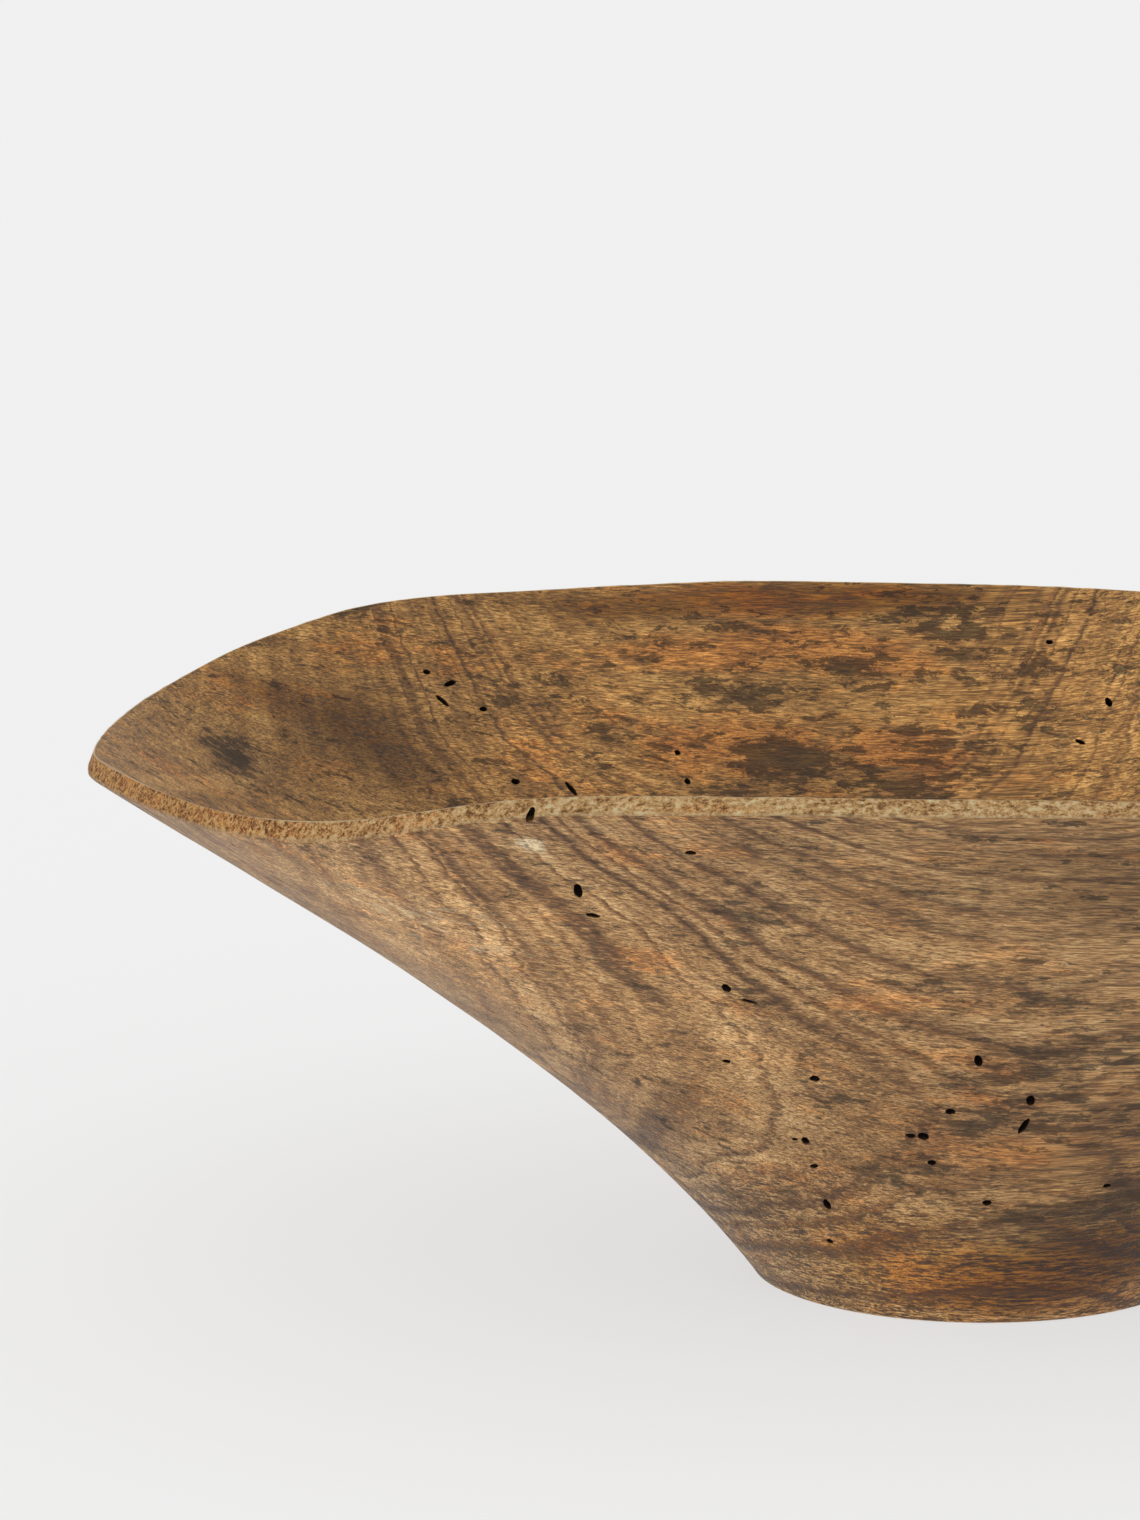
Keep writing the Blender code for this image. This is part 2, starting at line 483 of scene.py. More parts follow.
def handwork(grid, parts):
    """Moves the surface a little along its normals: carving and tool marks, and the rough cut of the rim."""
    normals = grid_normals(grid)
    wall = (parts != RIM_FACE)[:, None]
    above_foot = np.clip(grid[..., 2] / CARVED_ABOVE, 0, 1)
    carving = CARVING_HEIGHT * lumps(grid, CARVING_SIZE, seed=1)
    tool_marks = TOOL_HEIGHT * lumps(grid, TOOL_SIZE, seed=2)
    sawn = SAW_HEIGHT * lumps(grid, SAW_SIZE, seed=4)
    chips = -CHIP_DEPTH * np.clip(lumps(grid, CHIP_SIZE, seed=6) - CHIPS_FROM, 0, 1)
    height = np.where(wall, (carving + tool_marks) * above_foot, sawn + chips)
    return grid + normals * height[..., None]


def scoop_grid():
    """The whole surface as a grid of points with shape (rows, columns, 3), and the part of each row."""
    rim = rim_curve()
    rows, parts = section_rows(rim)
    outward = unit(rim[:, :2])
    grid = np.array([np.column_stack((outward * row[:, :1], row[:, 1])) for row in rows])
    return handwork(grid, parts), parts


def grid_mesh(grid):
    """A closed mesh: the rows joined by quads, with a fan of triangles at the foot's and floor's centres."""
    row_count, column_count, _ = grid.shape
    low_centre = grid[0].mean(axis=0)
    top_centre = grid[-1].mean(axis=0)
    points = np.concatenate((grid.reshape(-1, 3), (low_centre, top_centre)))
    here = np.arange(row_count * column_count).reshape(row_count, column_count)
    following = np.roll(here, -1, axis=1)
    quads = np.stack((here[:-1], following[:-1], following[1:], here[1:]), axis=-1).reshape(-1, 4)
    low_fan = [(len(points) - 2, b, a) for a, b in zip(here[0], following[0])]
    top_fan = [(len(points) - 1, a, b) for a, b in zip(here[-1], following[-1])]
    faces = quads.tolist() + [tuple(map(int, face)) for face in low_fan + top_fan]
    mesh = bpy.data.meshes.new("scoop_bowl_surface")
    mesh.from_pydata(points.tolist(), [], faces)
    mesh.validate()
    return mesh


# ---------------------------------------------------------------- beetle holes

# Each hole: its place in millimetres, width, height, and how far it leans from upright, in degrees.
OUTER_HOLES = (
    (-147, -146, 158, 2.0, 4.8, -20),
    (-133, -128, 136, 2.3, 6.4, 0),
    (-127, -121, 128, 4.0, 2.0, -15),
    (-108, -147, 149, 2.8, 2.0, 0),
    (-91, -110, 104, 2.4, 3.6, 10),
    (-85, -109, 101, 4.4, 1.3, -20),
    (-86, -89, 80, 2.3, 1.9, 10),
    (-65, -95, 76, 2.7, 2.7, -20),
    (-64, -80, 58, 2.2, 3.0, 0),
    (-66, -78, 57, 1.9, 1.4, 10),
    (-60, -73, 49, 2.5, 1.8, 30),
    (-55, -66, 37, 2.1, 4.3, 0),
    (-52, -56, 24, 2.0, 2.0, 0),
    (-30, -98, 67, 2.7, 2.3, -20),
    (-39, -92, 61, 2.6, 1.8, -15),
    (-35, -91, 59, 3.2, 2.8, -25),
    (-32, -86, 50, 2.3, 2.2, 0),
    (-16, -83, 40, 2.4, 2.3, 0),
    (-26, -111, 84, 2.2, 4.3, 10),
    (-10, -104, 71, 2.3, 4.1, 5),
    (-11, -99, 65, 1.8, 6.5, -20),
    (15, -86, 45, 2.2, 1.8, 0),
    (66, -128, 112, 2.3, 2.4, 0),
    (104, -92, 92, 2.1, 3.5, 10),
    (112, 60, 84, 2.3, 2.2, 0),
    (128, 14, 96, 2.5, 2.7, 15),
    (60, 118, 92, 2.2, 4.6, 0),
    (22, 131, 104, 2.4, 2.4, 0),
    (-34, 122, 96, 3.8, 2.0, 10),
    (-70, 112, 88, 2.3, 2.7, 0),
    (-96, 118, 118, 2.1, 4.1, -15),
)
INNER_HOLES = (
    (-130, 131, 147, 2.4, 1.8, 0),
    (-123, 128, 142, 4.3, 1.8, 15),
    (-127, 124, 139, 1.7, 5.2, 30),
    (-114, 124, 136, 2.6, 1.9, 0),
    (-109, 108, 119, 2.8, 2.1, 0),
    (-92, 110, 115, 1.8, 5.4, 20),
    (-58, 123, 119, 1.9, 1.9, 0),
    (-57, 117, 112, 2.0, 2.0, 0),
    (57, 154, 144, 2.2, 1.6, 0),
    (71, 139, 129, 2.0, 3.4, 20),
    (62, 132, 119, 3.2, 1.4, -25),
    (40, -128, 122, 2.1, 1.7, 0),
    (96, -96, 108, 2.2, 2.4, 0),
    (-60, -110, 104, 2.0, 1.8, 10),
    (118, 40, 92, 2.3, 1.7, 0),
)
HOLE_DEPTH = 0.0042
HOLE_TAPER = 0.72
MOUTH_DEPTH = 0.0004
MOUTH_OVERSHOOT = 0.0012
HOLE_SIDES = 14
HOLE_RAGGEDNESS = 0.22
SIDE_STEP = 1.7
HOLE_STEP = 3.1
# Painted shade in the holes: the depth where it begins, and the depth over which it grows to full.
DARK_FROM = 0.00005
DARKENING_DEPTH = 0.0002


def hole_cutter(shell, place, normal, size, lean, number):
    """Adds one tapering, slightly ragged plug to shell. Its wide end stands out of the wall."""
    width, height = size
    outward = Vector(normal)
    level = Vector((0, 0, 1)).cross(outward).normalized()
    upright = outward.cross(level)
    turned = Matrix.Rotation(math.radians(lean), 3, outward)
    level, upright = turned @ level, turned @ upright
    loops = []
    for depth, scale in ((-MOUTH_OVERSHOOT, 1.0), (MOUTH_DEPTH, 1.0), (HOLE_DEPTH, HOLE_TAPER)):
        centre = Vector(place) - outward * depth
        loop = []
        for side in range(HOLE_SIDES):
            angle = math.tau * side / HOLE_SIDES
            bump = noise.noise(Vector((side * SIDE_STEP, number * HOLE_STEP, 0)))
            ragged = 1 + HOLE_RAGGEDNESS * bump
            across = level * (math.cos(angle) * width / 2) + upright * (math.sin(angle) * height / 2)
            loop.append(shell.verts.new(centre + across * scale * ragged))
        loops.append(loop)
    for lower, upper in zip(loops, loops[1:]):
        for side in range(HOLE_SIDES):
            shell.faces.new((lower[side - 1], lower[side], upper[side], upper[side - 1]))
    shell.faces.new(loops[0])
    shell.faces.new(loops[-1])


def surface_tree(points):
    tree = kdtree.KDTree(len(points))
    for index, point in enumerate(points.tolist()):
        tree.insert(point, index)
    tree.balance()
    return tree


def hole_cutters(grid, parts):
    """One mesh object with a plug for every hole, each on the nearest point of the wall that it pierces."""
    normals = grid_normals(grid)
    shell = bmesh.new()
    number = 0
    for part, holes in ((OUTSIDE, OUTER_HOLES), (INSIDE, INNER_HOLES)):
        points = grid[parts == part].reshape(-1, 3)
        directions = normals[parts == part].reshape(-1, 3)
        tree = surface_tree(points)
        for x, y, z, width, height, lean in holes:
            near, index, _ = tree.find(Vector((x, y, z)) / MM_PER_METRE)
            size = (width / MM_PER_METRE, height / MM_PER_METRE)
            hole_cutter(shell, near, directions[index], size, lean, number)
            number += 1
    bmesh.ops.recalc_face_normals(shell, faces=shell.faces)
    mesh = bpy.data.meshes.new("hole_cutters")
    shell.to_mesh(mesh)
    shell.free()
    cutters = bpy.data.objects.new("hole_cutters", mesh)
    bpy.context.scene.collection.objects.link(cutters)
    return cutters


def cut_holes(scoop, cutters):
    cut = scoop.modifiers.new("beetle_holes", "BOOLEAN")
    cut.operation = "DIFFERENCE"
    cut.solver = "MANIFOLD"
    cut.object = cutters
    bpy.context.view_layer.update()
    evaluated = scoop.evaluated_get(bpy.context.evaluated_depsgraph_get())
    pierced = bpy.data.meshes.new_from_object(evaluated)
    scoop.modifiers.clear()
    scoop.data = pierced
    bpy.data.objects.remove(cutters)


# ---------------------------------------------------------------- stains

# Each stain: its centre, its half length along X and its half width, in millimetres, and its strength.
OUTER_STAINS = {
    # Lightness factors, which scale the colour: partly the wood's own tone and partly painted light and
    # shade, lighter on the lip and darker on the near side's right and on the foot there.
    "tone_and_painted_light": (
        (-165, -100, 122, 50, 40, 0.57),
        (-100, -90, 80, 30, 30, 0.26),
        (-60, -120, 105, 60, 30, 0.16),
        (0, -155, 140, 60, 20, -0.20),
        (-60, -132, 126, 40, 26, 0.07),
        (26, -68, 18, 36, 18, -0.54),
        (6, -95, 55, 40, 24, 0.12),
        (-70, -58, 48, 14, 14, 0.06),
        (-40, -60, 16, 26, 26, 0.56),
    ),
    "spalt": (
        (-90, -135, 131, 11, 5, 0.38),
        (-99, -143, 142, 8, 3, 0.28),
        (-43, -126, 108, 14, 3, 0.32),
        (-10, -128, 104, 26, 3, 0.26),
        (-10, -114, 84, 22, 6, 0.30),
        (6, -101, 65, 28, 8, 0.34),
        (-27, -98, 66, 12, 5, 0.28),
        (-43, -80, 47, 7, 4, 0.32),
        (-32, -86, 51, 9, 3, 0.32),
        (1, -81, 36, 26, 5, 0.34),
        (26, -80, 38, 18, 8, 0.32),
        (-154, -140, 154, 7, 2, 0.34),
        (24, -68, 16, 50, 16, -0.40),
        (-40, -60, 12, 30, 18, -0.12),
        (-5, -110, 80, 80, 40, 0.10),
        (-20, 124, 100, 44, 10, 0.28),
        (60, 108, 80, 30, 8, 0.26),
        (142, -30, 104, 20, 14, 0.22),
    ),
    "orange": (
        (-101, -150, 149, 12, 4, 0.18),
        (-116, -111, 114, 13, 6, 0.22),
        (-87, -107, 99, 8, 3, 0.24),
        (-53, -118, 100, 16, 4, 0.16),
        (-24, -105, 75, 18, 4, 0.20),
        (10, -108, 74, 16, 4, 0.20),
        (-15, -93, 56, 16, 4, 0.20),
        (-127, -142, 149, 10, 5, 0.16),
        (-190, -88, 132, 34, 24, 0.04),
        (-5, -100, 64, 70, 40, 0.06),
        (-10, -66, 14, 50, 20, 0.16),
        (26, -68, 14, 34, 12, 0.24),
        (40, 122, 98, 50, 12, 0.20),
        (-100, 116, 118, 30, 10, 0.16),
        (120, -60, 80, 24, 20, 0.16),
    ),
    "pale": (
        (-146, -138, 150, 4.6, 3.2, 1.3),
        (-142, -136, 146, 1.8, 1.2, 1.0),
        # These two spots on the lip's outer side also paint its lighter, greyer sheen: a painted reflection
        # of the pale floor.
        (-185, -92, 134, 34, 24, 0.34),
        (-150, -100, 120, 30, 24, 0.34),
        (-90, -50, 49, 1.4, 1.2, 0.5),
        (-98, -112, 108, 22, 10, 0.26),
        (-43, -76, 42, 16, 4, 0.20),
    ),
    "brown": (
        # These two darken the foot's right side: partly a brown stain, partly painted shade where that side
        # turns from the light.
        (24, -68, 18, 34, 12, 1.15),
        (48, -72, 30, 26, 16, 0.6),
        (-11, -65, 8, 18, 6, 0.50),
        (-40, -60, 16, 40, 26, 0.62),
        (-96, -75, 71, 14, 10, 0.12),
        (90, -100, 90, 60, 30, 0.25),
        (20, -92, 52, 56, 34, 0.44),
        (4, -155, 138, 60, 20, 0.44),
    ),
    "plain": (
        (30, -140, 124, 62, 36, 0.85),
        (-48, -160, 150, 28, 14, 0.60),
        (-99, -88, 85, 13, 26, 0.80),
    ),
}
INNER_STAINS = {
    # Lightness factors inside, which scale the colour: partly the wood's own tone and partly painted light
    # and shade.
    "tone_and_painted_light": (
        (70, 140, 130, 40, 40, 0.50),
        (-100, 122, 128, 30, 30, 0.20),
        (-220, 30, 142, 26, 50, 0.06),
        (-190, 80, 134, 10, 12, -0.24),
        (-152, 108, 132, 26, 20, -0.48),
        (-180, 80, 128, 20, 20, -0.12),
        (-20, 160, 158, 80, 6, -0.12),
        (10, 140, 130, 60, 40, 0.12),
        (-15, 140, 130, 24, 30, -0.14),
        (20, 130, 120, 20, 16, 0.20),
        (-70, 132, 126, 26, 30, 0.20),
        (-10, 138, 128, 50, 20, 0.06),
    ),
    "spalt": (
        (-191, 79, 134, 8, 10, 0.50),
        (-172, 115, 144, 5, 4, 0.32),
        (-109, 127, 137, 10, 4, 0.34),
        (-90, 136, 141, 6, 4, 0.24),
        (-119, 140, 152, 10, 4, 0.26),
        (-22, 128, 118, 14, 7, 0.60),
        (-42, 125, 116, 12, 3, 0.36),
        (-37, 140, 134, 9, 6, 0.38),
        (26, 161, 153, 26, 6, 0.36),
        (31, 155, 145, 10, 4, 0.30),
        (-3, 149, 140, 10, 4, 0.28),
        (52, 150, 138, 7, 4, 0.32),
        (52, 138, 124, 9, 5, 0.32),
        (17, 134, 120, 15, 5, 0.26),
        (12, 122, 108, 20, 4, 0.32),
        (-49, 118, 111, 13, 2, 0.46),
        (-69, 128, 127, 12, 3, 0.22),
        (-40, 156, 153, 16, 4, 0.26),
        (-70, 146, 148, 12, 3, 0.20),
        (-20, 161, 158, 80, 5, -0.16),
        (-157, 111, 136, 26, 14, -0.14),
        (0, 142, 132, 90, 30, 0.07),
        (-10, -130, 120, 60, 14, 0.22),
        (50, -118, 100, 26, 8, 0.30),
        (-80, -120, 124, 24, 8, 0.24),
        (140, 20, 110, 16, 26, 0.22),
        (0, -60, 40, 50, 14, 0.16),
    ),
    "orange": (
        (-99, 117, 124, 16, 9, 0.18),
        (-72, 143, 145, 24, 8, 0.24),
        (-29, 150, 146, 34, 7, 0.30),
        (10, 150, 142, 24, 6, 0.32),
        (-51, 130, 126, 30, 9, 0.30),
        (8, 130, 117, 28, 9, 0.30),
        (84, 140, 130, 40, 30, -0.10),
        (-150, 130, 152, 18, 5, 0.12),
        (-20, 161, 158, 60, 5, 0.26),
        (-157, 111, 136, 28, 15, 0.05),
        (0, -118, 102, 60, 16, 0.22),
        (-70, -128, 128, 30, 10, 0.20),
        (110, -60, 90, 24, 20, 0.18),
        (0, 60, 30, 50, 20, 0.14),
    ),
    "pale": (
        (66, 157, 150, 16, 4, 0.18),
        (74, 136, 126, 34, 24, 0.24),
        (-222, 40, 144, 14, 30, 0.08),
    ),
    "brown": (
        (-157, 111, 136, 28, 15, 0.66),
        (-142, 99, 121, 22, 12, 0.40),
        (-184, 110, 146, 14, 8, 0.44),
        (-70, 155, 158, 34, 5, 0.85),
        (-20, 161, 158, 40, 5, 1.15),
        (24, 163, 157, 34, 5, 0.80),
        (-10, 130, 118, 50, 12, 0.20),
    ),
    "plain": (
        (-10, 140, 130, 50, 30, 0.70),
        (-210, 50, 140, 30, 60, 0.60),
    ),
}


def edge_highlight_and_paleness(rows, parts):
    """How pale each row is painted: a painted highlight along the rim's sharp inner edge, and a weaker pale
    line along its outer one.
    """
    first_face = int(np.argmax(parts == RIM_FACE))
    first_inside = int(np.argmax(parts == INSIDE))
    inner_edge = np.isin(rows, (first_inside - 1, first_inside))
    outer_edge = rows == first_face
    return inner_edge * INNER_EDGE_HIGHLIGHT + outer_edge * OUTER_EDGE_PALENESS


def stain_amounts(points, stains):
    """How much of one kind of stain each point has: the sum of soft spots that are longer along X."""
    amount = np.zeros(len(points))
    for x, y, z, half_length, half_width, strength in stains:
        along = (points[:, 0] - x) / half_length
        aside = np.hypot(points[:, 1] - y, points[:, 2] - z) / half_width
        amount += strength * np.exp(-(along**2) - aside**2)
    return amount


def pith_distance(points):
    """Distance from the pith in millimetres, as in ring_radius but without its unevenness."""
    x, y, z = points.T
    side = y - np.polyval(PITH_Y[::-1], x)
    drop = z - np.polyval(PITH_Z[::-1], x)
    return np.sqrt(side**2 + RING_FLATNESS * drop**2 + RING_SLANT * side * drop)


def ring_crossing(points, normals):
    """1 where the surface cuts through the rings, falling to 0 where it runs along them."""
    here = pith_distance(points)
    gradient = np.column_stack([pith_distance(points + step) - here for step in np.eye(3)])
    along_normal = (unit(gradient) * normals).sum(axis=1)
    sine = np.sqrt(np.clip(1 - along_normal**2, 0, 1))
    return np.clip((sine - NO_CROSSING) / (FULL_CROSSING - NO_CROSSING), 0, 1)


def add_amount(mesh, name, amounts):
    attribute = mesh.attributes.new(name, "FLOAT", "POINT")
    attribute.data.foreach_set("value", amounts.astype(np.float32))


def mark_surface(scoop, grid, parts):
    """Stores on each vertex how far it is rim, inside or hole, the painted highlight on the rim's edges and
    the painted shade deep in the holes, and how much of each stain and lightness factor it has; the
    lightness factors are partly painted light.
    """
    mesh = scoop.data
    points = np.array([vertex.co for vertex in mesh.vertices])
    tree = surface_tree(grid.reshape(-1, 3))
    found = [tree.find(Vector(point)) for point in points.tolist()]
    nearest = np.array([index for _, index, _ in found])
    rows = nearest // grid.shape[1]
    off_surface = points - grid.reshape(-1, 3)[nearest]
    depth = -(off_surface * grid_normals(grid).reshape(-1, 3)[nearest]).sum(axis=1)
    inside = (parts[rows] == INSIDE).astype(float)
    tip = np.clip((TIP_BROWN_END - points[:, 0]) / TIP_BROWN_LENGTH, 0, 1) * TIP_BROWNNESS
    normals = np.array([normal.vector for normal in mesh.vertex_normals])
    points_mm = points * MM_PER_METRE
    add_amount(mesh, "rim", (parts[rows] == RIM_FACE).astype(float))
    add_amount(mesh, "inside", inside)
    # Painted highlight on the rim's inner edge, and a pale line on its outer edge.
    add_amount(mesh, "edge", edge_highlight_and_paleness(rows, parts))
    add_amount(mesh, "tip", tip)
    # Painted shade that darkens with depth inside the holes.
    add_amount(mesh, "hole_shade", np.clip((depth - DARK_FROM) / DARKENING_DEPTH, 0, 1))
    add_amount(mesh, "crossing", ring_crossing(points_mm, normals))
    for kind in OUTER_STAINS:
        outer = stain_amounts(points_mm, OUTER_STAINS[kind]) * (1 - inside)
        inner = stain_amounts(points_mm, INNER_STAINS[kind]) * inside
        # The lightness factors, partly painted light, start from 1; the stains start from 0.
        unstained = 1.0 if kind == "tone_and_painted_light" else 0.0
        add_amount(mesh, kind, outer + inner + unstained)


# ---------------------------------------------------------------- material

# Places of a node's sockets: the limits of a Map Range, and the colours that a Mix joins and gives.
RANGE_LOW = 1
RANGE_HIGH = 2
MIX_FIRST = 6
MIX_SECOND = 7
MIX_RESULT = 2


class Graph:
    """Short ways to add shader nodes to a material and join them."""

    def __init__(self, name):
        self.material = bpy.data.materials.new(name)
        self.material.use_nodes = True
        self.nodes = self.material.node_tree.nodes
        self.links = self.material.node_tree.links
        self.shader = self.nodes["Principled BSDF"]

    def put(self, socket, value):
        if isinstance(value, bpy.types.NodeSocket):
            self.links.new(value, socket)
        else:
            socket.default_value = value

    def math(self, operation, *values, clamp=False):
        node = self.nodes.new("ShaderNodeMath")
        node.operation = operation
        node.use_clamp = clamp
        for socket, value in zip(node.inputs, values):
            self.put(socket, value)
        return node.outputs[0]

    def scaled(self, vector, factors):
        node = self.nodes.new("ShaderNodeVectorMath")
        node.operation = "MULTIPLY"
        self.put(node.inputs[0], vector)
        self.put(node.inputs[1], factors)
        return node.outputs[0]

    def pattern(self, place, settings):
        """One of the patterns in the wood: noise of about 0.2 to 0.8, centred on 0.5."""
        per_mm, detail, rough, warp = settings
        node = self.nodes.new("ShaderNodeTexNoise")
        self.put(node.inputs["Vector"], self.scaled(place, per_mm))
        node.inputs["Scale"].default_value = 1.0
        node.inputs["Detail"].default_value = detail
        node.inputs["Roughness"].default_value = rough
        node.inputs["Distortion"].default_value = warp
        return node.outputs[0]

    def noise_1d(self, value, detail=1.0):
        """Noise of the same kind along a single value."""
        node = self.nodes.new("ShaderNodeTexNoise")
        node.noise_dimensions = "1D"
        self.put(node.inputs["W"], value)
        node.inputs["Scale"].default_value = 1.0
        node.inputs["Detail"].default_value = detail
        return node.outputs[0]

    def centred(self, value):
        """Noise moved to lie around 0."""
        return self.math("SUBTRACT", value, 0.5)

    def ramp(self, value, low, high):
        """0 on the far side of low, 1 on the far side of high, and smooth between them."""
        node = self.nodes.new("ShaderNodeMapRange")
        node.interpolation_type = "SMOOTHSTEP"
        self.put(node.inputs[0], value)
        node.inputs[RANGE_LOW].default_value = low
        node.inputs[RANGE_HIGH].default_value = high
        return node.outputs[0]

    def band(self, value, limits):
        """1 between the two middle limits, falling smoothly to 0 at the two outer ones."""
        begins, full, full_until, ends = limits
        return self.math("MULTIPLY", self.ramp(value, begins, full), self.ramp(value, ends, full_until))

    def colours(self, value, stops):
        """The colour at a value from 0 to 1, between evenly spaced colours."""
        node = self.nodes.new("ShaderNodeValToRGB")
        elements = node.color_ramp.elements
        elements[0].color = stops[0]
        elements[1].color = stops[-1]
        for index in range(1, len(stops) - 1):
            elements.new(index / (len(stops) - 1)).color = stops[index]
        self.put(node.inputs[0], value)
        return node.outputs[0]

    def mix(self, factor, first, second, kind="MIX"):
        node = self.nodes.new("ShaderNodeMix")
        node.data_type = "RGBA"
        node.blend_type = kind
        self.put(node.inputs[0], factor)
        self.put(node.inputs[MIX_FIRST], first)
        self.put(node.inputs[MIX_SECOND], second)
        return node.outputs[MIX_RESULT]

    def stained(self, colour, amount, stain, tint):
        """The colour seen through a stain, which depends on its amount."""
        begins, full, strength = stain
        share = self.math("MULTIPLY", self.ramp(amount, begins, full), strength)
        return self.mix(share, colour, tint, "MULTIPLY")

    def attribute(self, name):
        node = self.nodes.new("ShaderNodeAttribute")
        node.attribute_name = name
        return node.outputs["Fac"]

    def place_mm(self):
        """Position on the object, in millimetres."""
        node = self.nodes.new("ShaderNodeTexCoord")
        return self.scaled(node.outputs["Object"], (MM_PER_METRE, MM_PER_METRE, MM_PER_METRE))

    def split(self, vector):
        node = self.nodes.new("ShaderNodeSeparateXYZ")
        self.put(node.inputs[0], vector)
        return node.outputs

    def facing(self, axis):
        """How squarely the surface faces along one axis of the object, from 0 to 1."""
        node = self.nodes.new("ShaderNodeTexCoord")
        return self.math("ABSOLUTE", self.split(node.outputs["Normal"])[axis])


def bowed(graph, x, path):
    """One coordinate of the pith at x, which runs along a bow."""
    offset, steepness, bow = path
    return graph.math("MULTIPLY_ADD", graph.math("MULTIPLY_ADD", x, bow, steepness), x, offset)


def ring_radius(graph, place):
    """Distance from the pith in millimetres, a little uneven as in a real trunk."""
    x, y, z = graph.split(place)
    side = graph.math("SUBTRACT", y, bowed(graph, x, PITH_Y))
    drop = graph.math("SUBTRACT", z, bowed(graph, x, PITH_Z))
    squares = graph.math("MULTIPLY", side, side)
    squares = graph.math("MULTIPLY_ADD", graph.math("MULTIPLY", drop, drop), RING_FLATNESS, squares)
    squares = graph.math("MULTIPLY_ADD", graph.math("MULTIPLY", side, drop), RING_SLANT, squares)
    radius = graph.math("SQRT", squares)
    bend = graph.centred(graph.pattern(place, RING_BEND))
    ripple = graph.centred(graph.pattern(place, RING_RIPPLE))
    radius = graph.math("MULTIPLY_ADD", bend, RING_BEND_MM, radius)
    return graph.math("MULTIPLY_ADD", ripple, RING_RIPPLE_MM, radius)


def ring_phase(graph, radius, spacing):
    """How far through its growth ring a place lies, from 0 to 1, and how marked that ring is."""
    wander = graph.centred(graph.noise_1d(graph.math("MULTIPLY", radius, RING_WANDER_RATE / spacing)))
    count = graph.math("MULTIPLY_ADD", wander, RING_WANDER, graph.math("DIVIDE", radius, spacing))
    marked = graph.ramp(graph.noise_1d(graph.math("DIVIDE", radius, spacing)), *MARKED_RINGS)
    return graph.math("FRACT", count), marked


def ring_lines(graph, radius, spacing):
    """The porous early wood of each growth ring: 0 between rings, up to 1 on the strongest of them."""
    phase, marked = ring_phase(graph, radius, spacing)
    return graph.math("MULTIPLY", graph.band(phase, EARLY_WOOD), marked)


def pore_rows(graph, place, radius):
    """The row of wide pores at the edge of each growth ring, broken into short dark dashes."""
    phase, marked = ring_phase(graph, radius, RING_SPACING)
    dashes = graph.ramp(graph.pattern(place, DASHES), *DASHES_SHOW)
    return graph.math("MULTIPLY", graph.math("MULTIPLY", graph.band(phase, PORE_ROW), dashes), marked)


def dark_rings(graph, radius):
    """1 on the lines of the most marked growth rings, 0 between them."""
    lines = 0.0
    for group in DARK_RINGS:
        start = group[0] - DARK_RING_MARGIN
        span = group[-1] + DARK_RING_MARGIN - start
        ramp = graph.nodes.new("ShaderNodeValToRGB")
        ramp.color_ramp.elements.remove(ramp.color_ramp.elements[1])
        ramp.color_ramp.elements[0].color = (0, 0, 0, 1)
        for ring in group:
            for offset, value in ((-RING_LINE, 0), (0, 1), (2 * RING_LINE, 0)):
                stop = ramp.color_ramp.elements.new((ring + offset - start) / span)
                stop.color = (value, value, value, 1)
        graph.put(ramp.inputs[0], graph.math("DIVIDE", graph.math("SUBTRACT", radius, start), span))
        lines = graph.math("ADD", lines, ramp.outputs[0])
    return lines


def ring_marks(graph, place, radius):
    """How strongly each place shows the bands of the rings, the most marked lines and the rows of pores."""
    broken = graph.ramp(graph.pattern(place, BREAKS), *BREAKS_SHOW)
    crossing = graph.attribute("crossing")
    faded = graph.math("MULTIPLY", graph.ramp(radius, FADING_INSIDE_FROM, FADED_INSIDE_BEYOND), FADED_INSIDE)
    unfaded = graph.math("SUBTRACT", 1.0, graph.math("MULTIPLY", graph.attribute("inside"), faded))
    not_plain = graph.math("SUBTRACT", 1.0, graph.attribute("plain"), clamp=True)
    lines_kept = graph.math("MULTIPLY", unfaded, not_plain)
    bands_kept = graph.math("MULTIPLY", lines_kept, graph.ramp(radius, RINGLESS_BELOW, RINGS_FROM))

    bands = graph.math("MULTIPLY", ring_lines(graph, radius, RING_SPACING), crossing)
    fine_bands = ring_lines(graph, radius, FINE_RING_SPACING)
    bands = graph.math("MULTIPLY_ADD", fine_bands, FINE_RING_SHARE, bands)
    bands = graph.math("MULTIPLY", bands, graph.math("MULTIPLY", broken, bands_kept))

    lines = graph.math("MULTIPLY", graph.math("MULTIPLY", broken, crossing), lines_kept)
    lines = graph.math("MULTIPLY", dark_rings(graph, radius), lines)

    pore_strength = graph.math("MULTIPLY", bands_kept, PORE_ROW_STRENGTH)
    return bands, lines, graph.math("MULTIPLY", pore_rows(graph, place, radius), pore_strength)


def layering(graph, place):
    """How much the wood shows thin level layers: on the low walls, and where its fibres are cut across."""
    low_down = graph.ramp(graph.split(place)["Z"], *LAYERS_SHOW_BELOW)
    low_walls = graph.math("MULTIPLY", low_down, graph.ramp(graph.facing("Z"), *LAYERS_SHOW_UNLESS_LEVEL))
    end_grain = graph.math("MULTIPLY", graph.ramp(graph.facing("X"), *END_GRAIN_SHOWS), END_GRAIN_LAYERING)
    return graph.math("MULTIPLY_ADD", low_walls, LOW_LAYERING, end_grain)


